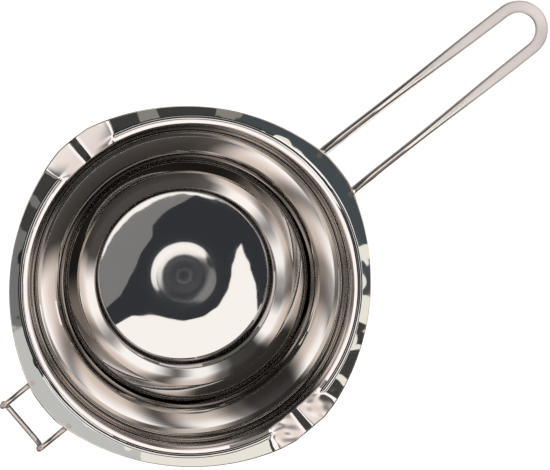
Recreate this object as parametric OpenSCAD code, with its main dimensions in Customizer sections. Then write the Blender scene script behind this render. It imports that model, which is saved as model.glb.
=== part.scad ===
// Stainless steel candle melting pot: a stepped double-boiler bowl with a four-sided flange and two
// pouring spouts, a flattened-wire handle and a small wire hook, joined by four spot welds.
// The origin is the middle of the underside of the base. +X runs out along the handle, +Y to a spout.

/* [Bowl] */
// Height from the base to the top of the flange
bowl_h = 66; // [62:1:72]
// Thickness of the steel sheet
sheet_t = 0.6; // [0.5:0.1:0.8]
// Radius where the flange starts to slope down to the mouth as a narrow ledge
ledge_r = 68.2; // [67.8:0.1:68.6]
// Radius of the soft bend from the flange into the ledge
ledge_bend = 10; // [8:0.5:12]
// Drop of the ledge from the flange to the mouth
ledge_drop = 0.55; // [0.4:0.05:0.7]
// Inner radius of the wall at the mouth
mouth_r = 65.4; // [65:0.1:66]
// Radius of the bend from the ledge into the wall
mouth_bend = 0.9; // [0.8:0.1:1.2]
// Inner radius at the bottom of the upper wall
upper_r = 65.4; // [65:0.1:65.8]
// Depth below the flange where the upper wall turns in
upper_depth = 19.4; // [18:0.1:19.5]
// Radius of the bend where the upper wall turns in
upper_bend = 8; // [6:0.5:8]
// Inner radius of the sharp crease behind the upper step
crease_r = 61.7; // [61:0.1:62.5]
// Depth of the crease
crease_depth = 22; // [21.9:0.1:22.3]
// Inner radius of the middle wall where the upper step's shoulder meets it
shoulder_r = 53; // [52.6:0.1:54]
// Depth of the upper step
shoulder_depth = 24.3; // [23.8:0.1:24.8]
// Radius of the bend over the upper step's shoulder
shoulder_bend = 9.4; // [7:0.1:9.4]
// Inner radius of the foot of the middle wall
foot_r = 52.1; // [51.5:0.1:52.5]
// Depth of the foot of the middle wall
foot_depth = 42; // [40:0.5:43]
// Radius of the bend at the foot of the middle wall
foot_bend = 4; // [2:0.5:5]
// Inner radius where the slope below the middle wall meets the lower step
slope_r = 45.9; // [45:0.1:46.5]
// Depth where the slope meets the lower step
slope_depth = 47.9; // [47.5:0.1:48.3]
// Radius of the bend between the slope and the lower step
slope_bend = 8; // [5:0.5:9]
// Inner radius of the lower step's edge
well_r = 39.7; // [39.6:0.1:41]
// Depth of the lower step's edge
well_depth = 49.2; // [48.5:0.1:50]
// Radius of the bend over the lower step's edge
well_bend = 0.8; // [0.8:0.1:1.4]
// Inner radius of the corner around the flat base
base_r = 39.5; // [38:0.1:39.5]
// Radius of the corner around the flat base
base_bend = 1.5; // [1:0.1:3]

/* [Flange] */
// Radius of each of the four long edge arcs
edge_arc_r = 92.1; // [90:0.1:94]
// Distance of each edge arc's centre from the bowl's axis
edge_arc_offset = 19.3; // [18:0.1:20]
// Radius to which the four corners are trimmed
corner_r = 76.4; // [75.6:0.1:77]

/* [Spouts] */
// Height of a spout's round channel axis above the flange
spout_rise = 33; // [32:0.1:34]
// Radius of the channel at the wall
spout_inner_r = 35.6; // [35.2:0.1:36]
// Radius of the channel at the edge of the flange
spout_outer_r = 36.1; // [35.8:0.1:36.6]

/* [Handle] */
// Distance from the bowl's axis to the end of the loop
handle_reach = 177; // [165:1:185]
// Distance between the two legs at the flange, middle to middle
leg_spacing = 20.6; // [19:0.1:22]
// Distance that the handle's middle line stands off the bowl's, towards -Y
handle_offset = 1.2; // [0:0.1:2]
// Diameter of the round legs
leg_d = 3.8; // [3.4:0.1:4.2]
// Width of the flattened wire around the loop
strip_w = 5; // [4.6:0.1:5.6]
// Thickness of the flattened wire around the loop
strip_t = 2.4; // [2:0.1:2.8]
// Outer width of the loop
loop_w = 23.6; // [20:0.1:24.5]
// Angle at which the handle rises
handle_angle = 12; // [4:0.5:14]

/* [Hook] */
// Diameter of the hook's wire
hook_d = 2.2; // [1.8:0.1:2.4]
// Distance between the hook's legs, middle to middle
hook_spacing = 22.6; // [20:0.1:24]
// Distance from the bowl's axis to the outside of the crossbar
hook_reach = 90; // [85:0.5:92]
// Drop of the crossbar's middle below the legs
hook_drop = 11.5; // [9:0.5:13]

/* [Hidden] */

steel = [0.80, 0.79, 0.78];
polished = [0.88, 0.88, 0.88];
weld_tint = [0.62, 0.56, 0.48];

$fn = 180;
bend_step = 8;
margin = 1;
flange_blank_r = 80;
under_flange = bowl_h - sheet_t;

// Spot welds: a fused button that fills a hole in the flange and sits on the wire below it
handle_weld_r = 1.3;
handle_weld_in = 1.8;
hook_weld_r = 1.0;
hook_weld_in = 1.6;
weld_sink = 0.15;

// Where the flange's edge crosses a line parallel to the X axis, y from it
function edge_x(y) =
    let (c = edge_arc_offset * sin(45))
    min(sqrt(pow(edge_arc_r, 2) - pow(y + c, 2)) - c, sqrt(pow(corner_r, 2) - y * y));

handle_weld_x = edge_x(leg_spacing / 2) - handle_weld_in;
hook_weld_x = -edge_x(hook_spacing / 2) + hook_weld_in;

// Middle of a handle leg at its weld, on the side 1 or -1
function handle_leg_y(side) = side * leg_spacing / 2 - handle_offset;

// Half section of the bowl's inner surface, from the flange in to the axis: radius, height, bend
INNER = [
    [flange_blank_r, bowl_h, 0],
    [ledge_r, bowl_h, ledge_bend],
    [mouth_r, bowl_h - ledge_drop, mouth_bend],
    [upper_r, bowl_h - upper_depth, upper_bend],
    [crease_r, bowl_h - crease_depth, 0.4],
    [shoulder_r, bowl_h - shoulder_depth, shoulder_bend],
    [foot_r, bowl_h - foot_depth, foot_bend],
    [slope_r, bowl_h - slope_depth, slope_bend],
    [well_r, bowl_h - well_depth, well_bend],
    [base_r, sheet_t, base_bend],
    [0, sheet_t, 0]
];

function unit(v) = v / norm(v);
function left(v) = [-v[1], v[0]];
function point(c) = [c[0], c[1]];
function turn(v, a) = [v[0] * cos(a) - v[1] * sin(a), v[0] * sin(a) + v[1] * cos(a)];
function heading(a, b) = unit(point(b) - point(a));
function bend_angle(d1, d2) = atan2(cross(d1, d2), d1 * d2);

// The same outline moved t to its left, which is the outside of the sheet
function moved(path, t) = [
    for (i = [0:len(path) - 1])
        let (
            d1 = i == 0 ? heading(path[0], path[1]) : heading(path[i - 1], path[i]),
            d2 = i == len(path) - 1 ? d1 : heading(path[i], path[i + 1]),
            shift = t * (left(d1) + left(d2)) / (1 + d1 * d2),
            side = sign(cross(d1, d2)),
            p = point(path[i]) + shift
        )
        [p[0], p[1], path[i][2] == 0 ? 0 : path[i][2] - side * t]
];

// Points of an outline with every corner rounded to its own bend radius
function rounded(path) = [
    for (i = [0:len(path) - 1])
        let (b = point(path[i]), r = path[i][2])
        if (i == 0 || i == len(path) - 1 || r <= 0) b
        else
            let (
                d1 = heading(path[i - 1], path[i]),
                d2 = heading(path[i], path[i + 1]),
                a = bend_angle(d1, d2),
                start = b - d1 * r * tan(abs(a) / 2),
                centre = start + sign(a) * left(d1) * r,
                steps = ceil(abs(a) / bend_step)
            )
            for (k = [0:steps]) centre + turn(start - centre, a * k / steps)
];

function reversed(list) = [for (i = [len(list) - 1:-1:0]) list[i]];

module bowl_sheet() {
    rotate_extrude()
        polygon(concat(rounded(INNER), reversed(rounded(moved(INNER, sheet_t)))));
}

// Disc whose rim is the long edge of the flange that faces the angle a
module edge_disc(a, height) {
    rotate(a)
        translate([-edge_arc_offset, 0, 0]) cylinder(r = edge_arc_r, h = height);
}

// Plan outline of the flange as a tall block: a square with bowed sides and trimmed corners
module flange_block(z0, height) {
    translate([0, 0, z0])
        intersection() {
            cylinder(r = corner_r, h = height);
            edge_disc(45, height);
            edge_disc(135, height);
            edge_disc(225, height);
            edge_disc(315, height);
        }
}

// Round tapered channel that runs out over the flange along +Y, grown by a skin
spout_start = 60;
spout_end = 84;
spout_lip = 76.4;
spout_depth = 8;
function channel_r(y) =
    spout_inner_r + (spout_outer_r - spout_inner_r) * (y - mouth_r) / (spout_lip - mouth_r);

module spout_channel(skin) {
    translate([0, spout_start, bowl_h + spout_rise])
        rotate([-90, 0, 0])
            cylinder(
                r1 = channel_r(spout_start) + skin,
                r2 = channel_r(spout_end) + skin,
                h = spout_end - spout_start
            );
}

// One spout: the channel pressed down from the flange, open above and into the bowl
module spout_skin() {
    intersection() {
        flange_block(bowl_h - spout_depth, spout_depth);
        difference() {
            spout_channel(sheet_t);
            spout_channel(0);
            translate([0, 0, bowl_h - spout_depth - margin])
                cylinder(r = mouth_r, h = spout_depth + 2 * margin);
        }
    }
}

module weld_hole(x, y, r) {
    translate([x, y, under_flange - margin]) cylinder(r = r, h = sheet_t + 2 * margin);
}

module bowl() {
    color(polished)
        difference() {
            union() {
                difference() {
                    intersection() {
                        bowl_sheet();
                        flange_block(-margin, bowl_h + 2 * margin);
                    }
                    for (a = [0, 180]) rotate(a) spout_channel(0);
                }
                for (a = [0, 180]) rotate(a) spout_skin();
            }
            for (side = [-1, 1]) {
                weld_hole(handle_weld_x, handle_leg_y(side), handle_weld_r);
                weld_hole(hook_weld_x, side * hook_spacing / 2, hook_weld_r);
            }
        }
}

// Handle: one wire swept from a flat seat under the flange, round along the legs, flat at the loop
leg_r = leg_d / 2;
seat_half_w = 2.3;
seat_half_t = 1.45;
seat_corner = 1.2;
strip_corner = 1.0;
leg_start_x = 69.2;
seat_end_x = 73.6;
round_start_x = 76;
rise_start_x = 80;
rise_bend = 5;
loop_r = (loop_w - strip_w) / 2;
loop_x = handle_reach - strip_w / 2 - loop_r;
flatten_end_x = loop_x - 5;
flatten_start_x = flatten_end_x - 58;
leg_toe_in = asin((leg_spacing / 2 - loop_r) / (loop_x - handle_weld_x));

function smooth(a, b, x) =
    let (t = max(0, min(1, (x - a) / (b - a))))
    t * t * (3 - 2 * t);
function mix(a, b, t) = a + (b - a) * t;

// Section at x as half width, half thickness and corner radius
function wire_section(x) =
    let (
        seat = 1 - smooth(seat_end_x, round_start_x, x),
        flat = smooth(flatten_start_x, flatten_end_x, x)
    )
    mix(
        mix([leg_r, leg_r, leg_r], [seat_half_w, seat_half_t, seat_corner], seat),
        [strip_w / 2, strip_t / 2, strip_corner],
        flat
    );

// Height that the handle has gained at x: a short bend and then a straight slope
function rise(x) =
    let (t = x - rise_start_x)
    tan(handle_angle)
    * (t < -rise_bend ? 0 : t < rise_bend ? pow(t + rise_bend, 2) / (4 * rise_bend) : t);

// Wire middle at x on the left leg; its top stays on the flange's underside near the seat
function wire_z(x) =
    let (half_t = x > round_start_x ? leg_r : min(leg_r, wire_section(x)[1]))
    under_flange - half_t + rise(x);
function leg_y(x) = leg_spacing / 2 - (x - handle_weld_x) * tan(leg_toe_in);

LEG_X = concat(
    [leg_start_x],
    [for (i = [0:5]) mix(seat_end_x, round_start_x, i / 5)],
    [for (i = [1:5]) rise_start_x + rise_bend * (i / 2.5 - 1)],
    [for (i = [0:12]) mix(flatten_start_x, flatten_end_x, i / 12)]
);
loop_turn = 90 - leg_toe_in;
loop_steps = 28;
section_steps = 4;

// Route of the wire: place, direction in plan and the x that sets its section
LEFT_LEG = [for (x = LEG_X) [[x, leg_y(x), wire_z(x)], -leg_toe_in, x]];
LOOP = [
    for (i = [0:loop_steps])
        let (
            a = loop_turn * (1 - 2 * i / loop_steps),
            x = loop_x + loop_r * cos(a)
        )
        [[x, loop_r * sin(a), wire_z(x)], a - 90, x]
];
RIGHT_LEG = [
    for (s = reversed(LEFT_LEG))
        [[s[0][0], -s[0][1], s[0][2]], 180 - s[1], s[2]]
];
ROUTE = concat(LEFT_LEG, LOOP, RIGHT_LEG);

function section_points(s) = [
    for (corner = [0:3], k = [0:section_steps])
        let (
            a = 90 * (corner + k / section_steps),
            sx = corner == 0 || corner == 3 ? 1 : -1,
            sy = corner < 2 ? 1 : -1
        )
        [sx * (s[0] - s[2]) + s[2] * cos(a), sy * (s[1] - s[2]) + s[2] * sin(a)]
];

function ring(s) = [
    for (p = section_points(wire_section(s[2])))
        s[0] + [-p[0] * sin(s[1]), p[0] * cos(s[1]), p[1]]
];

module swept_wire(route) {
    sides = 4 * (section_steps + 1);
    last = len(route) - 1;
    polyhedron(
        points = [for (s = route) each ring(s)],
        faces = concat(
            [[for (k = [0:sides - 1]) k]],
            [
                for (i = [0:last - 1], k = [0:sides - 1])
                    let (a = i * sides + k, b = i * sides + (k + 1) % sides)
                    each [[a, a + sides, b + sides], [a, b + sides, b]]
            ],
            [[for (k = [sides - 1:-1:0]) last * sides + k]]
        )
    );
}

module handle_loop() {
    color(steel)
        translate([0, -handle_offset, 0]) swept_wire(ROUTE);
}

// Hook: one round wire, out under the flange, bent down at both sides to a crossbar
hook_r = hook_d / 2;
hook_seat = 0.1;
hook_bend = 3;
hook_start_x = 69.2;
hook_z = under_flange - hook_r + hook_seat;
hook_bar_z = hook_z - hook_drop;
hook_bar_x = -hook_reach + hook_r;

module quarter_bend() {
    rotate_extrude(angle = 90)
        translate([hook_bend, 0]) circle(r = hook_r);
}

// Half of the hook on the +Y side
module hook_half() {
    y = hook_spacing / 2;
    leg_end = -hook_bar_x - hook_bend;
    translate([-leg_end, y, hook_z])
        rotate([0, 90, 0]) cylinder(r = hook_r, h = leg_end - hook_start_x);
    translate([-leg_end, y, hook_z - hook_bend])
        rotate([90, 0, 180]) quarter_bend();
    translate([hook_bar_x, y, hook_bar_z + hook_bend])
        cylinder(r = hook_r, h = hook_drop - 2 * hook_bend);
    translate([hook_bar_x, y - hook_bend, hook_bar_z + hook_bend])
        rotate([0, 90, 0]) quarter_bend();
    translate([hook_bar_x, 0, hook_bar_z])
        rotate([-90, 0, 0]) cylinder(r = hook_r, h = y - hook_bend);
}

module hook() {
    color(steel)
        difference() {
            union() {
                hook_half();
                mirror([0, 1, 0]) hook_half();
            }
            translate([-edge_x(0) - 2, -hook_spacing, under_flange])
                cube([edge_x(0), 2 * hook_spacing, hook_d]);
        }
}

// Button of a spot weld, dished on top
module weld_button(x, y, r) {
    dish_r = (r * r + weld_sink * weld_sink) / (2 * weld_sink);
    translate([x, y, 0])
        difference() {
            translate([0, 0, under_flange]) cylinder(r = r, h = sheet_t);
            translate([0, 0, bowl_h - weld_sink + dish_r]) sphere(r = dish_r);
        }
}

module handle_weld_left() {
    color(steel) weld_button(handle_weld_x, handle_leg_y(1), handle_weld_r);
}

module handle_weld_right() {
    color(steel) weld_button(handle_weld_x, handle_leg_y(-1), handle_weld_r);
}

module hook_weld_left() {
    color(weld_tint) weld_button(hook_weld_x, hook_spacing / 2, hook_weld_r);
}

module hook_weld_right() {
    color(weld_tint) weld_button(hook_weld_x, -hook_spacing / 2, hook_weld_r);
}

bowl();
handle_loop();
hook();
handle_weld_left();
handle_weld_right();
hook_weld_left();
hook_weld_right();
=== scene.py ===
import math

import bpy
import numpy as np
from mathutils import Euler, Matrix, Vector


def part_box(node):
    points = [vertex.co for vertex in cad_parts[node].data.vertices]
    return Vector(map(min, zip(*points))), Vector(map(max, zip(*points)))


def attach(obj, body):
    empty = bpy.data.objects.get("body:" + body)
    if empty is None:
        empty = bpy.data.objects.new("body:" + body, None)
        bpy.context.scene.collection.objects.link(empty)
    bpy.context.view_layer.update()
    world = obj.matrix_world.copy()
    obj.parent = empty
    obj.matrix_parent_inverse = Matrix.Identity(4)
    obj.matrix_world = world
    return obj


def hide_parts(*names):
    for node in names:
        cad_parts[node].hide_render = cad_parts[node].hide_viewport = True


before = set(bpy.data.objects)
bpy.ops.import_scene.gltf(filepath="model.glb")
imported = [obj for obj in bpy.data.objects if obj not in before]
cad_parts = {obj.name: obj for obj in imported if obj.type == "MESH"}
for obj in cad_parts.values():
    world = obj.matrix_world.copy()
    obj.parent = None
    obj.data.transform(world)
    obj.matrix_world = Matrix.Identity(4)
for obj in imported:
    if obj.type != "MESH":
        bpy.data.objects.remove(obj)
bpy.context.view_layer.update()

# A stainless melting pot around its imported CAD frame. Lengths are in millimetres until MM turns
# them into Blender's metres. The frame gives the outer sizes; the sheet's bends are named here.
MM = 0.001


def node_box(name):
    """Lowest and highest corner of a CAD node, in millimetres."""
    low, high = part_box(name)
    return np.array(low) / MM, np.array(high) / MM


BOWL_HIGH = node_box("bowl")[1]
HANDLE_LOW, HANDLE_HIGH = node_box("handle_loop")
HOOK_LOW, HOOK_HIGH = node_box("hook")

# ---------------------------------------------------------------- bowl sizes

RIM = BOWL_HIGH[2]
SHEET = 0.6
MOUTH_R = 65.4

# The flange's cut edge: four long arcs about centres off the axis, trimmed at the four corners
CORNER_R = BOWL_HIGH[1]
EDGE_ARC_R, EDGE_ARC_OFFSET = 92.1, 19.3

# Half section of the inside, from the flange in: radius, depth below the rim, bend radius.
# The flange rolls into a narrow sloping ledge before the wall.
LEDGE_R, LEDGE_DROP, LEDGE_BEND = 68.2, 0.55, 10.0
SECTION = [
    (LEDGE_R + LEDGE_BEND, 0.0, 0.0),
    (LEDGE_R, 0.0, LEDGE_BEND),
    (MOUTH_R, LEDGE_DROP, 0.9),
    (65.4, 19.4, 8.0),
    (61.7, 22.0, 0.4),
    (60.28, 22.28, 18.5),
    (53.12, 24.8, 9.1),
    (52.2, 42.0, 4.0),
    (45.9, 47.9, 8.0),
    (39.7, 49.2, 0.8),
    (39.5, RIM - SHEET, 1.5),
    (0.4, RIM - SHEET, 0.0),
]

# Spouts: half width and depth of the pressed channel at the wall and at the lip, the share of its
# width that is floor, how round its foot and its shoulder are, and the depths below the rim
# between which it dies out down the wall
SPOUT_WALL_Y, SPOUT_LIP_Y = MOUTH_R, CORNER_R
SPOUT_HALF_W = (11.6, 14.6)
SPOUT_DEPTH = (2.95, 3.0)
SPOUT_FLOOR = 0.16
SPOUT_FOOT, SPOUT_SHOULDER = 0.06, 0.2
SPOUT_FADE = (2.4, 12.4)

# Creases in the spout at -Y: their depth, and their turns in radians per millimetre
CREASE_DEPTH = 0.14
CREASE_TURN_X, CREASE_TURN_Y, CREASE_BREAK_Y = 0.8, 0.35, 0.55

# Shallow dish in the middle of the base
DISH_FROM, DISH_TO, DISH_SLOPE = 5.5, 20.5, math.radians(2.9)

# Mesh: columns around the bowl, crowded towards the spouts, and the lengths of its rows
COLUMNS = 480
COLUMN_CROWDING = 0.34
FLANGE_ROWS = 14
ARC_STEP = math.radians(6)
LONGEST_ROW, LONG_STRAIGHT, END_ROW = 2.0, 0.8, 0.06


def soft_ramp(x, half):
    """max(0, x) with its corner rounded over half each side."""
    return np.where(x < -half, 0.0, np.where(x > half, x, (x + half) ** 2 / (4 * half)))


def smooth_step(a, b, x):
    """0 up to a, 1 from b on, and smooth between them."""
    t = np.clip((x - a) / (b - a), 0, 1)
    return t * t * (3 - 2 * t)


def edge_radius(angle):
    """Distance from the axis to the flange's cut edge: four long arcs and four trimmed corners."""
    reach = np.full_like(angle, CORNER_R)
    for facing in np.radians([45, 135, 225, 315]):
        along = EDGE_ARC_OFFSET * np.cos(angle - facing)
        across = EDGE_ARC_OFFSET * np.sin(angle - facing)
        reach = np.minimum(reach, np.sqrt(EDGE_ARC_R**2 - across**2) - along)
    return reach


def spout_share(x, y):
    """How deep in a pressed spout a point x, y of the flange is: 0 outside, 1 on its floor.
    The channel is widest at the lip and draws in towards the wall."""
    out = np.abs(y)
    t = np.clip((out - SPOUT_WALL_Y) / (SPOUT_LIP_Y - SPOUT_WALL_Y), 0, 1)
    half_w = SPOUT_HALF_W[0] + (SPOUT_HALF_W[1] - SPOUT_HALF_W[0]) * np.sin(t * math.pi / 2)
    u = np.abs(x) / half_w
    side = soft_ramp(u - SPOUT_FLOOR, SPOUT_FOOT) - soft_ramp(u - 1, SPOUT_SHOULDER)
    share = np.clip(1 - side / (1 - SPOUT_FLOOR), 0, 1)
    return np.where(out > MOUTH_R / 2, share, 0)


def spout_drop(x, y):
    """How far the pressed spouts lower the flange at x, y."""
    t = np.clip((np.abs(y) - SPOUT_WALL_Y) / (SPOUT_LIP_Y - SPOUT_WALL_Y), 0, 1)
    share = spout_share(x, y)
    depth = SPOUT_DEPTH[0] + (SPOUT_DEPTH[1] - SPOUT_DEPTH[0]) * t
    # The spout at -Y is pressed less cleanly and keeps a few creases on its sides
    on_side = 4 * share * (1 - share)
    crease = np.sin(CREASE_TURN_X * x + CREASE_TURN_Y * y) * np.sin(CREASE_BREAK_Y * y)
    return depth * share + np.where(y < 0, CREASE_DEPTH * crease * on_side, 0)


def rounded_section(corners):
    """Points of a half section with each corner rounded to its own radius, as (radius, height)."""
    points = []
    for i, (r, z, bend) in enumerate(corners):
        here = np.array((r, z))
        if i == 0 or i == len(corners) - 1 or bend == 0:
            points.append(here)
            continue
        before = np.array(corners[i - 1][:2]) - here
        after = np.array(corners[i + 1][:2]) - here
        before /= np.linalg.norm(before)
        after /= np.linalg.norm(after)
        opening = math.acos(np.clip(before @ after, -1, 1))
        middle = (before + after) / np.linalg.norm(before + after)
        centre = here + middle * bend / math.sin(opening / 2)
        start = here + before * bend / math.tan(opening / 2) - centre
        end = here + after * bend / math.tan(opening / 2) - centre
        sweep = math.atan2(start[0] * end[1] - start[1] * end[0], start @ end)
        steps = max(3, math.ceil(abs(sweep) / ARC_STEP))
        for k in range(steps + 1):
            a = sweep * k / steps
            turned = (
                start[0] * math.cos(a) - start[1] * math.sin(a),
                start[0] * math.sin(a) + start[1] * math.cos(a),
            )
            points.append(centre + turned)
    return np.array(points)


def split_long(points):
    """The same outline with its long straight stretches divided, and short pieces at their ends so
    that the bends' shading doesn't spread into them."""
    result = [points[0]]
    for a, b in zip(points, points[1:]):
        length = np.linalg.norm(b - a)
        stops = np.linspace(0, 1, max(1, math.ceil(length / LONGEST_ROW)) + 1)
        if length > LONG_STRAIGHT:
            near = END_ROW / length
            stops = sorted([near, 1 - near, *stops])
        result += [a + (b - a) * t for t in stops[1:]]
    return np.array(result)


def dish(radius):
    """Height of the base's inner face inside the dish, below its flat ring."""
    r = np.clip(radius, DISH_FROM, DISH_TO)
    span = DISH_TO - DISH_FROM
    left = (DISH_TO - r) / 2 + span / (4 * math.pi) * np.sin(2 * math.pi * (r - DISH_FROM) / span)
    return -math.tan(DISH_SLOPE) * left


def bowl_grid():
    """Inner surface of the bowl as a grid of points: rows from the flange's edge to the axis."""
    turn = np.linspace(0, 2 * math.pi, COLUMNS, endpoint=False)
    angle = turn + COLUMN_CROWDING * np.sin(2 * turn)
    cos, sin = np.cos(angle), np.sin(angle)
    rows = []
    edge = edge_radius(angle)
    section = rounded_section([(r, -depth, bend) for r, depth, bend in SECTION])
    section = split_long(section[1:])
    for k in range(FLANGE_ROWS):
        r = edge + (section[0][0] - edge) * (k / FLANGE_ROWS)
        x, y = r * cos, r * sin
        rows.append(np.stack([x, y, RIM - spout_drop(x, y)], -1))
    for r, z in section:
        fade = 1 - smooth_step(SPOUT_FADE[0], SPOUT_FADE[1], -z)
        x, y = max(r, MOUTH_R) * cos, max(r, MOUTH_R) * sin
        ledge = max(z, -LEDGE_DROP) * spout_share(x, y)
        rows.append(np.stack([r * cos, r * sin, RIM + z - (spout_drop(x, y) + ledge) * fade], -1))
    return np.array(rows)


def grid_normals(grid):
    """Unit normals of a closed-in-columns grid, on the side that faces down and out."""
    across = np.roll(grid, -1, 1) - np.roll(grid, 1, 1)
    down = np.empty_like(grid)
    down[1:-1] = grid[2:] - grid[:-2]
    down[0] = grid[1] - grid[0]
    down[-1] = grid[-1] - grid[-2]
    normal = np.cross(down, across)
    return normal / np.linalg.norm(normal, axis=-1, keepdims=True)


def grid_object(name, grid):
    """Closed mesh of a grid that wraps around its columns, with a cap on its first and last row."""
    rows, columns = grid.shape[:2]
    points = (grid.reshape(-1, 3) * MM).tolist()
    faces = []
    for i in range(rows - 1):
        for k in range(columns):
            n = (k + 1) % columns
            faces.append((i * columns + k, (i + 1) * columns + k, (i + 1) * columns + n, i * columns + n))
    faces.append(tuple(range(columns)))
    faces.append(tuple(range(rows * columns - 1, (rows - 1) * columns - 1, -1)))
    mesh = bpy.data.meshes.new(name)
    mesh.from_pydata(points, [], faces)
    mesh.validate()
    mesh.shade_smooth()
    piece = bpy.data.objects.new(name, mesh)
    bpy.context.scene.collection.objects.link(piece)
    return piece


def add_piece(piece, node, material):
    """Hand a finished piece to the frame as the look of one of its nodes."""
    piece.data.materials.append(material)
    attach(piece, "root")
    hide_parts(node)


# ---------------------------------------------------------------- materials

# Colour of the buffed steel, and the painted dark reflection given to two lower walls in place of the
# dark room they mirror
STEEL_REFLECTS = 0.62
BUFFED = (STEEL_REFLECTS, 0.605, 0.59)
PAINTED_DARK_REFLECTION = (0.05, 0.047, 0.045)

# The two walls that get the painted dark reflection: radii and heights that they lie between, and how
# much of the painted dark tone shows
WELL_WALL = ((38.2, 40.1), (0.4, 15.9), 0.8)
MIDDLE_WALL = ((51.0, 53.8), (22.0, 41.5), 0.35)
WELL_SOFT, MIDDLE_SOFT = (0.3, 0.5), (0.5, 2.0)

# Roughness of the walls, of the flat faces, and what turning adds to it in the dish
BASE_DISC_R = 38.0
WALL_ROUGHNESS = (0.006, 0.02)
FLAT_ROUGHNESS = 0.015
DISH_ROUGHNESS = 0.12
DISH_BLEND = 4.0

# Scales of the noises, per metre, the height of the waves in the flat faces and how much of it the
# base gets, and how far the wires' grain is drawn out and spreads their roughness
RINGS_SCALE, WAVES_SCALE, GRAIN_SCALE = 500, 85, 2500
WAVE_HEIGHT, BASE_WAVES = 0.06, 0.2
GRAIN_STRETCH, GRAIN_SPREAD = 0.04, (0.85, 1.15)


def new_material(name):
    """A node material, with its nodes, its links and its surface shader."""
    material = bpy.data.materials.new(name)
    material.use_nodes = True
    nodes = material.node_tree.nodes
    return material, nodes, material.node_tree.links, nodes["Principled BSDF"]


def math_node(nodes, links, operation, first, second=None, third=None):
    """Result of a maths node, whose inputs are numbers or other nodes' results."""
    node = nodes.new("ShaderNodeMath")
    node.operation = operation
    for socket, value in zip(node.inputs, (first, second, third)):
        if value is None:
            continue
        if isinstance(value, (int, float)):
            socket.default_value = value
        else:
            links.new(value, socket)
    return node.outputs[0]


def polar(nodes, links):
    """Radius, height and place of the shaded point, in metres, in the object's own coordinates."""
    place = nodes.new("ShaderNodeTexCoord").outputs["Object"]
    split = nodes.new("ShaderNodeSeparateXYZ")
    links.new(place, split.inputs[0])
    x, y, z = split.outputs
    squares = math_node(nodes, links, "ADD", math_node(nodes, links, "MULTIPLY", x, x),
                        math_node(nodes, links, "MULTIPLY", y, y))
    return math_node(nodes, links, "SQRT", squares), z, place


def between(nodes, links, value, low, high, soft):
    """1 where a length in metres lies between two limits in millimetres, with soft ends."""
    ends = []
    for start, end in ((low - soft, low + soft), (high + soft, high - soft)):
        step = nodes.new("ShaderNodeMapRange")
        step.interpolation_type = "SMOOTHSTEP"
        links.new(value, step.inputs["Value"])
        step.inputs["From Min"].default_value = start * MM
        step.inputs["From Max"].default_value = end * MM
        ends.append(step.outputs[0])
    return math_node(nodes, links, "MULTIPLY", *ends)


def bowl_material():
    """Polished sheet with fine rings left by buffing, a turned dish, and a painted dark reflection on two
    walls.
    """
    material, nodes, links, shader = new_material("polished_steel")
    radius, height, place = polar(nodes, links)
    shader.inputs["Metallic"].default_value = 1.0

    # Painted dark reflection: the two lower walls get a dark base colour, so they reflect less than the
    # buffed faces
    painted_dark = []
    for (radii, heights, share), soft in ((WELL_WALL, WELL_SOFT), (MIDDLE_WALL, MIDDLE_SOFT)):
        wall = math_node(nodes, links, "MULTIPLY", between(nodes, links, radius, *radii, soft[0]),
                         between(nodes, links, height, *heights, soft[1]))
        painted_dark.append(math_node(nodes, links, "MULTIPLY", wall, share))
    tone = nodes.new("ShaderNodeMix")
    tone.data_type = "RGBA"
    links.new(math_node(nodes, links, "MAXIMUM", *painted_dark), tone.inputs["Factor"])
    tone.inputs[6].default_value = (*BUFFED, 1)
    tone.inputs[7].default_value = (*PAINTED_DARK_REFLECTION, 1)
    links.new(tone.outputs[2], shader.inputs["Base Color"])

    rings = nodes.new("ShaderNodeCombineXYZ")
    links.new(radius, rings.inputs[0])
    links.new(height, rings.inputs[1])
    fine = nodes.new("ShaderNodeTexNoise")
    fine.inputs["Scale"].default_value = RINGS_SCALE
    fine.inputs["Detail"].default_value = 1
    links.new(rings.outputs[0], fine.inputs["Vector"])

    on_flange = math_node(nodes, links, "GREATER_THAN", radius, MOUTH_R * MM)
    in_base = math_node(nodes, links, "LESS_THAN", radius, BASE_DISC_R * MM)
    smooth_zone = math_node(nodes, links, "MAXIMUM", on_flange, in_base)
    satin = nodes.new("ShaderNodeMapRange")
    satin.interpolation_type = "SMOOTHSTEP"
    links.new(radius, satin.inputs["Value"])
    satin.inputs["From Min"].default_value = (DISH_TO + DISH_BLEND) * MM
    satin.inputs["From Max"].default_value = DISH_FROM * MM
    spread = nodes.new("ShaderNodeMapRange")
    links.new(fine.outputs["Fac"], spread.inputs["Value"])
    spread.inputs["To Min"].default_value = WALL_ROUGHNESS[0]
    spread.inputs["To Max"].default_value = WALL_ROUGHNESS[1]
    rough = nodes.new("ShaderNodeMix")
    links.new(smooth_zone, rough.inputs["Factor"])
    links.new(spread.outputs[0], rough.inputs["A"])
    turned = math_node(nodes, links, "MULTIPLY", fine.outputs["Fac"], DISH_ROUGHNESS)
    links.new(math_node(nodes, links, "MULTIPLY_ADD", satin.outputs[0], turned, FLAT_ROUGHNESS),
              rough.inputs["B"])
    links.new(rough.outputs[0], shader.inputs["Roughness"])

    # Slow waves in the flat faces
    slow = nodes.new("ShaderNodeTexNoise")
    slow.inputs["Scale"].default_value = WAVES_SCALE
    slow.inputs["Detail"].default_value = 1
    links.new(place, slow.inputs["Vector"])
    waves = nodes.new("ShaderNodeBump")
    waves.inputs["Distance"].default_value = WAVE_HEIGHT * MM
    links.new(math_node(nodes, links, "MULTIPLY_ADD", in_base, BASE_WAVES, on_flange),
              waves.inputs["Strength"])
    links.new(slow.outputs["Fac"], waves.inputs["Height"])
    links.new(waves.outputs[0], shader.inputs["Normal"])
    return material


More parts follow.
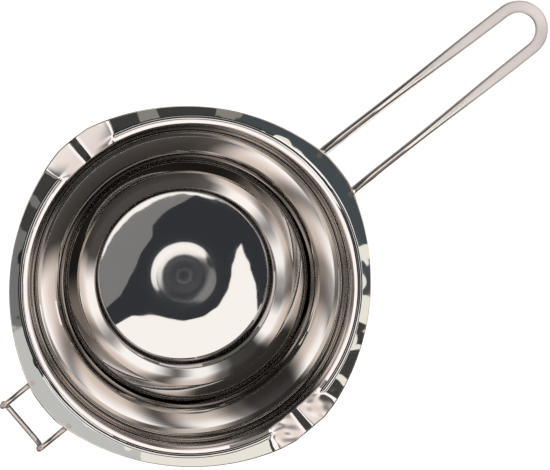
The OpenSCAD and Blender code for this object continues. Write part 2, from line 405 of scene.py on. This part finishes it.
def wire_material(name, colour, roughness, flat_roughness=None):
    """Drawn wire with faint lines along X. Where the handle's wire is pressed flat it turns satin."""
    material, nodes, links, shader = new_material(name)
    shader.inputs["Metallic"].default_value = 1.0
    shader.inputs["Base Color"].default_value = (*colour, 1)
    split = nodes.new("ShaderNodeSeparateXYZ")
    links.new(nodes.new("ShaderNodeTexCoord").outputs["Object"], split.inputs[0])
    x, y, z = split.outputs
    lines = nodes.new("ShaderNodeCombineXYZ")
    links.new(math_node(nodes, links, "MULTIPLY", x, GRAIN_STRETCH), lines.inputs[0])
    links.new(y, lines.inputs[1])
    links.new(z, lines.inputs[2])
    grain = nodes.new("ShaderNodeTexNoise")
    grain.inputs["Scale"].default_value = GRAIN_SCALE
    grain.inputs["Detail"].default_value = 1
    links.new(lines.outputs[0], grain.inputs["Vector"])
    pressed = nodes.new("ShaderNodeMapRange")
    pressed.interpolation_type = "SMOOTHSTEP"
    links.new(x, pressed.inputs["Value"])
    pressed.inputs["From Min"].default_value = FLATTEN_START_X * MM
    pressed.inputs["From Max"].default_value = FLATTEN_END_X * MM
    pressed.inputs["To Min"].default_value = roughness
    pressed.inputs["To Max"].default_value = flat_roughness or roughness
    spread = nodes.new("ShaderNodeMapRange")
    links.new(grain.outputs["Fac"], spread.inputs["Value"])
    spread.inputs["To Min"].default_value = GRAIN_SPREAD[0]
    spread.inputs["To Max"].default_value = GRAIN_SPREAD[1]
    links.new(math_node(nodes, links, "MULTIPLY", pressed.outputs[0], spread.outputs[0]),
              shader.inputs["Roughness"])
    return material


# ---------------------------------------------------------------- bowl

# The outer skin is the inner one moved out by the sheet's thickness, with a cut edge that stands
# upright. The dish is in the inner skin only.
polished = bowl_material()
inner = bowl_grid()
outer = inner + SHEET * grid_normals(inner)
outer[0, :, :2] = inner[0, :, :2]
inner[..., 2] += dish(np.hypot(inner[..., 0], inner[..., 1]))
bowl = grid_object("bowl_sheet", np.concatenate([inner[::-1], outer]))
add_piece(bowl, "bowl", polished)

# ---------------------------------------------------------------- handle

# One wire: flat seats under the flange, round legs that rise, and a loop that is pressed flat
LEG_D = 3.8
LEG_SPACING = 20.6
STRIP_W, STRIP_T = 5.0, 2.4
LOOP_W = 23.6
HANDLE_Y = (HANDLE_LOW[1] + HANDLE_HIGH[1]) / 2
LEG_R = LEG_D / 2
UNDER = RIM - SHEET
SEAT_HALF_W, SEAT_HALF_T, SEAT_CORNER = 2.3, 1.45, 1.2
STRIP_CORNER = 1.0
LEG_START_X = HANDLE_LOW[0]
SEAT_END_X, ROUND_START_X = 73.6, 76.0
RISE_START_X, RISE_BEND = 80.0, 5.0
LOOP_R = (LOOP_W - STRIP_W) / 2
LOOP_X = HANDLE_HIGH[0] - STRIP_W / 2 - LOOP_R
FLATTEN_RUN, FLATTEN_END_GAP = 58.0, 5.0
FLATTEN_END_X = LOOP_X - FLATTEN_END_GAP
FLATTEN_START_X = FLATTEN_END_X - FLATTEN_RUN
HANDLE_ANGLE = math.radians(12)
WELD_IN = 1.8

# How finely the handle's wire is divided around a corner and along its stretches
CORNER_STEPS = 8
SEAT_STATIONS, FLATTEN_STATIONS, LOOP_STATIONS = 9, 40, 61
LEG_STEP = 1.5


def edge_x(y):
    """Where the flange's edge crosses a line parallel to the X axis, y from it."""
    c = EDGE_ARC_OFFSET * math.sin(math.radians(45))
    return min(math.sqrt(EDGE_ARC_R**2 - (y + c) ** 2) - c, math.sqrt(CORNER_R**2 - y * y))


HANDLE_WELD_X = edge_x(LEG_SPACING / 2) - WELD_IN
TOE_IN = math.asin((LEG_SPACING / 2 - LOOP_R) / (LOOP_X - HANDLE_WELD_X))


def wire_section(x):
    """Half width, half thickness and corner radius of the handle's wire at x."""
    seat = 1 - smooth_step(SEAT_END_X, ROUND_START_X, x)
    flat = smooth_step(FLATTEN_START_X, FLATTEN_END_X, x)
    round_wire = np.array([LEG_R, LEG_R, LEG_R])
    near = round_wire + (np.array([SEAT_HALF_W, SEAT_HALF_T, SEAT_CORNER]) - round_wire) * seat
    return near + (np.array([STRIP_W / 2, STRIP_T / 2, STRIP_CORNER]) - near) * flat


def rise(x):
    """Height that the handle has gained at x: a short bend and then a straight slope."""
    t = x - RISE_START_X
    if t < -RISE_BEND:
        return 0.0
    if t < RISE_BEND:
        return math.tan(HANDLE_ANGLE) * (t + RISE_BEND) ** 2 / (4 * RISE_BEND)
    return math.tan(HANDLE_ANGLE) * t


def wire_z(x):
    """Height of the wire's middle at x; at its seat the wire's top stays under the flange."""
    half_t = LEG_R if x > ROUND_START_X else min(LEG_R, wire_section(x)[1])
    return UNDER - half_t + rise(x)


def section_ring(place, heading, x):
    """Ring of points around the handle's wire: a rectangle with round corners, or a circle."""
    half_w, half_t, corner = wire_section(x)
    points = []
    for quarter in range(4):
        sx = 1 if quarter in (0, 3) else -1
        sy = 1 if quarter < 2 else -1
        for k in range(CORNER_STEPS + 1):
            a = math.radians(90 * (quarter + k / CORNER_STEPS))
            w = sx * (half_w - corner) + corner * math.cos(a)
            t = sy * (half_t - corner) + corner * math.sin(a)
            points.append((place[0] - w * math.sin(heading), place[1] + w * math.cos(heading),
                           place[2] + t))
    return points


def handle_route():
    """Places, headings and section positions along the handle's wire."""
    stretch = [
        LEG_START_X,
        *np.linspace(SEAT_END_X, ROUND_START_X, SEAT_STATIONS),
        *np.arange(ROUND_START_X + 1, FLATTEN_START_X, LEG_STEP),
        *np.linspace(FLATTEN_START_X, FLATTEN_END_X, FLATTEN_STATIONS),
    ]
    leg = []
    for x in stretch:
        y = LEG_SPACING / 2 - (x - HANDLE_WELD_X) * math.tan(TOE_IN)
        leg.append(((x, y, wire_z(x)), -TOE_IN, x))
    turn = math.pi / 2 - TOE_IN
    loop = []
    for a in np.linspace(turn, -turn, LOOP_STATIONS):
        x = LOOP_X + LOOP_R * math.cos(a)
        loop.append(((x, LOOP_R * math.sin(a), wire_z(x)), a - math.pi / 2, x))
    back = [((p[0], -p[1], p[2]), math.pi - h, x) for p, h, x in reversed(leg)]
    return leg + loop + back


wire_steel = wire_material("wire_steel", (0.84, 0.82, 0.80), 0.13, 0.42)
rings = np.array([section_ring(*stop) for stop in handle_route()]) + (0, HANDLE_Y, 0)
handle = grid_object("handle_wire", rings)
add_piece(handle, "handle_loop", wire_steel)

# ---------------------------------------------------------------- hook

HOOK_R = 1.1
HOOK_SPACING = HOOK_HIGH[1] * 2 - 2 * HOOK_R
HOOK_BEND = 3.0
HOOK_SEAT = 0.1
HOOK_Z = UNDER - HOOK_R + HOOK_SEAT
HOOK_BAR_Z = HOOK_LOW[2] + HOOK_R
HOOK_BAR_X = HOOK_LOW[0] + HOOK_R
HOOK_SIDES, HOOK_BEND_STATIONS = 24, 10


def hook_path():
    """Middle line of the hook's wire, from one end under the flange to the other."""
    y = HOOK_SPACING / 2
    corners = [(HOOK_HIGH[0], y, HOOK_Z), (HOOK_BAR_X, y, HOOK_Z), (HOOK_BAR_X, y, HOOK_BAR_Z),
               (HOOK_BAR_X, -y, HOOK_BAR_Z), (HOOK_BAR_X, -y, HOOK_Z), (HOOK_HIGH[0], -y, HOOK_Z)]
    corners = [np.array(c) for c in corners]
    path = [corners[0]]
    for before, here, after in zip(corners, corners[1:], corners[2:]):
        into = (here - before) / np.linalg.norm(here - before)
        away = (after - here) / np.linalg.norm(after - here)
        centre = here - into * HOOK_BEND + away * HOOK_BEND
        for a in np.radians(np.linspace(0, 90, HOOK_BEND_STATIONS)):
            path.append(centre - away * HOOK_BEND * math.cos(a) + into * HOOK_BEND * math.sin(a))
    path.append(corners[-1])
    return path


def round_sweep(path, radius):
    """Rings of a round wire along a path, carried without twist."""
    grid = []
    across = None
    for i, here in enumerate(path):
        ahead = path[min(i + 1, len(path) - 1)] - path[max(i - 1, 0)]
        ahead /= np.linalg.norm(ahead)
        if across is None:
            across = np.cross(ahead, (0, 0, 1))
        across = across - ahead * (across @ ahead)
        across /= np.linalg.norm(across)
        side = np.cross(ahead, across)
        grid.append([here + radius * (across * math.cos(a) + side * math.sin(a))
                     for a in np.linspace(0, 2 * math.pi, HOOK_SIDES, endpoint=False)])
    return np.array(grid)


hook = grid_object("hook_wire", round_sweep(hook_path(), HOOK_R)[:, ::-1])
hook_steel = wire_material("hook_steel", (0.72, 0.70, 0.68), 0.18)
add_piece(hook, "hook", hook_steel)

# ---------------------------------------------------------------- spot welds

# Top of a weld button: radius as a share of the button's, and height over the flange
BUTTON_TOP = [(1.0, 0.0), (0.97, 0.012), (0.8, 0.02), (0.5, 0.012), (0.25, 0.006)]
BUTTON_MIDDLE = (0.02, 0.005)
BUTTON_SIDES = 32


def weld_button(node, material):
    """Round fused button, dished on top, where the flange is melted to the wire under it."""
    low, high = node_box(node)
    middle, r = (low + high) / 2, (high[0] - low[0]) / 2
    profile = [(r, low[2])]
    profile += [(r * share, high[2] + lift) for share, lift in BUTTON_TOP]
    profile.append((BUTTON_MIDDLE[0], high[2] + BUTTON_MIDDLE[1]))
    grid = []
    for radius, z in profile:
        grid.append([(middle[0] + radius * math.cos(a), middle[1] + radius * math.sin(a), z)
                     for a in np.linspace(0, 2 * math.pi, BUTTON_SIDES, endpoint=False)])
    add_piece(grid_object(node + "_button", np.array(grid)[::-1]), node, material)


weld_steel = wire_material("weld_steel", (0.12, 0.12, 0.12), 0.4)
tinted_steel = wire_material("tinted_steel", (0.60, 0.54, 0.46), 0.4)
for name in ("handle_weld_left", "handle_weld_right"):
    weld_button(name, weld_steel)
for name in ("hook_weld_left", "hook_weld_right"):
    weld_button(name, tinted_steel)

# ---------------------------------------------------------------- camera

# The main view looks almost straight down into the bowl, with the handle towards its top right
CAMERA_PLACE = Vector((0.9, 53.35, 577.0)) * MM
CAMERA_TURN = Euler([math.radians(a) for a in (-2.338, -7.361, -38.993)])
CAMERA_LENS = 83.26

camera_data = bpy.data.cameras.new("camera")
camera_data.lens = CAMERA_LENS
camera_data.clip_start = 0.01
camera = bpy.data.objects.new("camera", camera_data)
camera.location = CAMERA_PLACE
camera.rotation_euler = CAMERA_TURN
bpy.context.scene.collection.objects.link(camera)
bpy.context.scene.camera = camera

# ---------------------------------------------------------------- studio

# The studio is laid out in its own axes: U to the picture's right and V to its top. It is lit
# brighter by what the steel swallows, so that the steel shows each panel at the panel's own colour.
STUDIO_TURN = math.radians(39)
LIGHT_GAIN = 1 / STEEL_REFLECTS

# The overhead set hangs two metres above the rim. Its panels are placed by where they show on the
# pot: a point of the steel is given, and the panel's corner goes where that point reflects.
SET_Z = RIM + 2000.0
BASE_Z = SHEET
RING_PANEL_STEP = 4.0


def studio(u, v, z):
    """Place in Blender's metres of a studio point in millimetres."""
    cos, sin = math.cos(STUDIO_TURN), math.sin(STUDIO_TURN)
    return Vector((u * cos + v * sin, v * cos - u * sin, z)) * MM


def emission_material(name, colour):
    """Plain glow of one colour."""
    material = bpy.data.materials.new(name)
    material.use_nodes = True
    nodes = material.node_tree.nodes
    nodes.clear()
    glow = nodes.new("ShaderNodeEmission")
    glow.inputs["Color"].default_value = (*colour, 1)
    glow.inputs["Strength"].default_value = LIGHT_GAIN
    out = nodes.new("ShaderNodeOutputMaterial")
    material.node_tree.links.new(glow.outputs[0], out.inputs[0])
    return material


def stage_panel(name, points, faces, colour):
    """Glowing panel with its corners in metres, seen only in reflections."""
    mesh = bpy.data.meshes.new(name)
    mesh.from_pydata(points, [], faces)
    panel = bpy.data.objects.new(name, mesh)
    bpy.context.scene.collection.objects.link(panel)
    mesh.materials.append(emission_material(name, colour))
    panel.visible_camera = False
    panel.visible_diffuse = False
    panel.visible_shadow = False


def reflected(u, v, z, tilt=0.0):
    """Where the camera's view of a point of the steel lands on the overhead set, in U and V.
    The steel is level there, or tilted towards the axis by an angle."""
    place = studio(u, v, z) / MM
    out = Vector((place.x, place.y, 0)).normalized()
    facing = Vector((0, 0, 1)) * math.cos(tilt) - out * math.sin(tilt)
    ray = (place - CAMERA_PLACE / MM).normalized()
    away = ray.reflect(facing)
    hit = place + away * ((SET_Z - z) / away.z)
    cos, sin = math.cos(STUDIO_TURN), math.sin(STUDIO_TURN)
    return hit.x * cos - hit.y * sin, hit.x * sin + hit.y * cos


def base_panel(name, outline, layer, colour):
    """Panel seen in the flat base, with its outline as it shows there."""
    corners = [reflected(u, v, BASE_Z) for u, v in outline]
    points = [studio(u, v, SET_Z + layer) for u, v in corners]
    stage_panel(name, points, [tuple(range(len(points)))], colour)


def ring_panel(name, start, end, inner, outer, z, tilts, layer, colour):
    """Panel seen in a ring of the steel at height z, between two angles in degrees. The ring's
    inner and outer edges are tilted towards the axis by the two tilts."""
    steps = max(2, math.ceil((end - start) / RING_PANEL_STEP))
    angles = np.radians(np.linspace(start, end, steps + 1))
    near = [reflected(inner * math.cos(a), inner * math.sin(a), z, tilts[0]) for a in angles]
    far = [reflected(outer * math.cos(a), outer * math.sin(a), z, tilts[1]) for a in angles]
    points = [studio(u, v, SET_Z + layer) for u, v in near + far]
    strip = [(k, k + 1, steps + k + 2, steps + k + 1) for k in range(steps)]
    stage_panel(name, points, strip, colour)


def arc(u, v, radius, start, end, steps):
    """Points of a round stretch about u, v, between two angles in degrees."""
    angles = np.radians(np.linspace(start, end, steps + 1))
    return [(u + radius * math.cos(a), v + radius * math.sin(a)) for a in angles]


# Colours of the room that the steel shows, named as they look in it
SLATE = (0.055, 0.068, 0.075)
CHARCOAL = (0.045, 0.045, 0.043)
PEWTER = (0.16, 0.165, 0.165)
DRAB = (0.23, 0.22, 0.20)
SILVER = (0.50, 0.51, 0.50)
CREAM = (0.80, 0.78, 0.71)
PAPER = (0.93, 0.90, 0.87)
WARM_WHITE = (1.0, 0.93, 0.92)
WALL_GREY = (0.19, 0.19, 0.188)
INK = (0.028, 0.031, 0.036)
SOOT = (0.02, 0.02, 0.02)

# Heights of the panels over the set's lowest one, in millimetres: a lower one hides a higher one
FRONT, ARCH_LAYER, WALL_LAYER, CREAM_LAYER = 0, 5, 10, 20
LEDGE_DARK_LAYER, LEDGE_WHITE_LAYER, PAPER_LAYER = 24, 26, 30
LEVEL = (0, 0)

base_panel("base_paper", arc(0, 0, 48, 0, 350, 35), PAPER_LAYER, PAPER)
base_panel("photographer", [
    (-2, 33), (-10.5, 28), (-14, 23), (-14.5, 18), (-18, 12), (-24, -0.5), (-28.5, -8),
    (-35.5, -15), (-33, -23), (-24, -18.5), (-11.5, -17), (0, -18.5), (7.5, -17), (14, -13),
    (19, -6.5), (21, -0.5), (22, 6), (25, 14.5), (29.5, 4.5), (32.5, -3.5), (34, -16.5),
    (39.5, -8), (60, -12), (62, 10), (52, 33), *arc(-2.5, -11.0, 48.7, 46.6, 81.1, 4),
], FRONT, INK)
base_panel("grey_wall", [
    (-45, -16), (-33, -22), (-20, 6), (-10, 22), (6, 37), *arc(4.1, -6.7, 43.8, 94.6, 160.6, 8),
    (-46, 0),
], WALL_LAYER, WALL_GREY)
ring_panel("dark_arch", 60, 215, 43, 73, BASE_Z, LEVEL, ARCH_LAYER, SOOT)

# Start and end angle of each panel that shows in the flange, over the cream one
FLANGE_IN, FLANGE_OUT = 68.6, 79.0
FLANGE_PANELS = [
    (-3, 9.5, SLATE), (13.5, 75, SLATE), (75, 84, DRAB), (84, 101, CHARCOAL), (101, 107, DRAB),
    (107, 150, CHARCOAL), (150, 153, PEWTER), (153, 160, CHARCOAL), (160, 193, PEWTER),
    (193, 253, SILVER), (297, 326, CHARCOAL), (330, 337, CHARCOAL), (340, 346, CHARCOAL),
]
ring_panel("flange_cream", 0, 360, 66, 80, RIM, LEVEL, CREAM_LAYER, CREAM)
for number, (start, end, colour) in enumerate(FLANGE_PANELS):
    ring_panel("flange_panel_%02d" % number, start, end, FLANGE_IN, FLANGE_OUT, RIM, LEVEL, FRONT, colour)

LEDGE_IN, LEDGE_OUT = 65, 68
LEDGE_TILTS = (math.radians(12.6), math.radians(9.0))
ring_panel("ledge_white", -34, 281, LEDGE_IN, LEDGE_OUT, RIM, LEDGE_TILTS, LEDGE_WHITE_LAYER, WARM_WHITE)
ring_panel("ledge_dark", 281, 326, LEDGE_IN, LEDGE_OUT, RIM, LEDGE_TILTS, LEDGE_DARK_LAYER, DRAB)

# Upright panel beside the handle, leaning over it a little
SIDE_FOOT, SIDE_TOP = Vector((80, -75, 8)) * MM, Vector((80, -65, 95)) * MM
SIDE_RUN = Vector((120, 0, 0)) * MM
SIDE_WHITE = (0.9, 0.88, 0.86)
stage_panel("handle_white", [SIDE_FOOT, SIDE_FOOT + SIDE_RUN, SIDE_TOP + SIDE_RUN, SIDE_TOP],
            [(0, 1, 2, 3)], SIDE_WHITE)


def set_ramp(ramp, stops):
    """Give a new colour ramp its stops, in order, as (position, colour)."""
    ramp.color_ramp.elements[0].position, ramp.color_ramp.elements[0].color = stops[0]
    ramp.color_ramp.elements[1].position, ramp.color_ramp.elements[1].color = stops[-1]
    for position, colour in stops[1:-1]:
        ramp.color_ramp.elements.new(position).color = colour


def grey(value):
    """Neutral colour of one brightness."""
    return (value, value, value, 1)


# Studio angle in degrees and how bright the walls are there: bright panels with dark gaps between
AROUND = [
    (0, 1.0), (4, 1.0), (22, 0.32), (34, 0.95), (52, 0.95), (70, 0.14), (86, 0.9), (92, 0.9),
    (108, 0.16), (116, 0.05), (138, 0.04), (153, 0.95), (165, 0.9), (180, 0.22), (192, 0.35),
    (206, 0.9), (212, 0.9), (228, 0.3), (245, 1.0), (253, 1.0), (268, 0.1), (276, 0.07),
    (337, 0.07), (352, 1.0), (360, 1.0),
]


# Colour of the walls by how far up they are, from the table at 0 to straight up at 1
WALLS = [
    (0.0, (0.02, 0.018, 0.016, 1)), (0.03, (0.03, 0.028, 0.025, 1)), (0.10, (0.56, 0.49, 0.43, 1)),
    (0.70, (0.70, 0.60, 0.54, 1)), (0.86, (0.82, 0.73, 0.70, 1)), (0.95, (1, 0.97, 0.95, 1)),
    (1.0, grey(1)),
]

# Colour of the table as the steel mirrors it, by the distance from the pot in metres, and the
# broad sheens around it: how many, their phase in radians, and their swing about a middle
TABLE = [
    (0.0, (0.12, 0.115, 0.11, 1)), (0.08, (0.22, 0.21, 0.20, 1)), (0.2, (0.42, 0.40, 0.385, 1)),
    (1.0, (0.80, 0.78, 0.76, 1)),
]
SHEENS, SHEEN_PHASE, SHEEN_SWING, SHEEN_MIDDLE = 3, 0.6, 0.45, 0.9
TABLE_HALF = 3.0
TABLE_GLOW = 0.75


def make_world():
    """White ceiling, warm walls and a dark foot around the table, the same again below it; white
    where the camera looks."""
    world = bpy.data.worlds.new("studio")
    bpy.context.scene.world = world
    world.use_nodes = True
    nodes, links = world.node_tree.nodes, world.node_tree.links
    nodes.clear()
    direction = nodes.new("ShaderNodeTexCoord").outputs["Generated"]
    split = nodes.new("ShaderNodeSeparateXYZ")
    links.new(direction, split.inputs[0])
    x, y, z = split.outputs
    turn = math_node(nodes, links, "ARCTAN2", y, x)
    turn = math_node(nodes, links, "DIVIDE", turn, 2 * math.pi)
    turn = math_node(nodes, links, "ADD", turn, STUDIO_TURN / (2 * math.pi) + 1)
    turn = math_node(nodes, links, "FRACT", turn)

    walls = nodes.new("ShaderNodeValToRGB")
    set_ramp(walls, WALLS)
    links.new(math_node(nodes, links, "ABSOLUTE", z), walls.inputs[0])

    around = nodes.new("ShaderNodeValToRGB")
    around.color_ramp.interpolation = "EASE"
    set_ramp(around, [(angle / 360, grey(light)) for angle, light in AROUND])
    links.new(turn, around.inputs[0])
    shade = nodes.new("ShaderNodeMix")
    shade.data_type = "RGBA"
    shade.blend_type = "MULTIPLY"
    shade.inputs["Factor"].default_value = 1.0
    links.new(walls.outputs[0], shade.inputs[6])
    links.new(around.outputs[0], shade.inputs[7])

    seen = nodes.new("ShaderNodeLightPath").outputs["Is Camera Ray"]
    final = nodes.new("ShaderNodeMix")
    final.data_type = "RGBA"
    links.new(seen, final.inputs["Factor"])
    links.new(shade.outputs[2], final.inputs[6])
    final.inputs[7].default_value = grey(1 / LIGHT_GAIN)
    background = nodes.new("ShaderNodeBackground")
    background.inputs["Strength"].default_value = LIGHT_GAIN
    links.new(final.outputs[2], background.inputs[0])
    out = nodes.new("ShaderNodeOutputWorld")
    links.new(background.outputs[0], out.inputs[0])


def make_floor():
    """Pale table, lit from inside so that it stays near white; it isn't seen from below.
    The steel mirrors it as a grey one that is lighter further out and in a few broad sheens, so
    that the wires keep dark edges and the outer walls show their roundness."""
    mesh = bpy.data.meshes.new("floor")
    corners = [(TABLE_HALF * x, TABLE_HALF * y, 0) for x, y in ((-1, -1), (1, -1), (1, 1), (-1, 1))]
    mesh.from_pydata(corners, [], [(0, 1, 2, 3)])
    floor = bpy.data.objects.new("floor", mesh)
    bpy.context.scene.collection.objects.link(floor)
    material, nodes, links, shader = new_material("pale_table")
    shader.inputs["Base Color"].default_value = (0.9, 0.9, 0.9, 1)
    shader.inputs["Roughness"].default_value = 0.9
    shader.inputs["Emission Color"].default_value = (1, 1, 1, 1)
    shader.inputs["Emission Strength"].default_value = TABLE_GLOW
    radius, _, place = polar(nodes, links)
    split = nodes.new("ShaderNodeSeparateXYZ")
    links.new(place, split.inputs[0])
    turn = math_node(nodes, links, "ARCTAN2", split.outputs[1], split.outputs[0])
    sheen = math_node(nodes, links, "MULTIPLY_ADD", turn, SHEENS, SHEEN_PHASE)
    sheen = math_node(nodes, links, "SINE", sheen)
    sheen = math_node(nodes, links, "MULTIPLY_ADD", sheen, SHEEN_SWING, SHEEN_MIDDLE)
    further = nodes.new("ShaderNodeValToRGB")
    set_ramp(further, TABLE)
    links.new(radius, further.inputs[0])
    mirrored = nodes.new("ShaderNodeEmission")
    links.new(further.outputs[0], mirrored.inputs["Color"])
    links.new(sheen, mirrored.inputs["Strength"])
    by_ray = nodes.new("ShaderNodeMixShader")
    links.new(nodes.new("ShaderNodeLightPath").outputs["Is Glossy Ray"], by_ray.inputs[0])
    links.new(shader.outputs[0], by_ray.inputs[1])
    links.new(mirrored.outputs[0], by_ray.inputs[2])
    clear = nodes.new("ShaderNodeBsdfTransparent")
    behind = nodes.new("ShaderNodeNewGeometry").outputs["Backfacing"]
    mix = nodes.new("ShaderNodeMixShader")
    links.new(behind, mix.inputs[0])
    links.new(by_ray.outputs[0], mix.inputs[1])
    links.new(clear.outputs[0], mix.inputs[2])
    links.new(mix.outputs[0], nodes["Material Output"].inputs[0])
    mesh.materials.append(material)


make_world()
make_floor()
bpy.context.scene.view_settings.view_transform = "Standard"
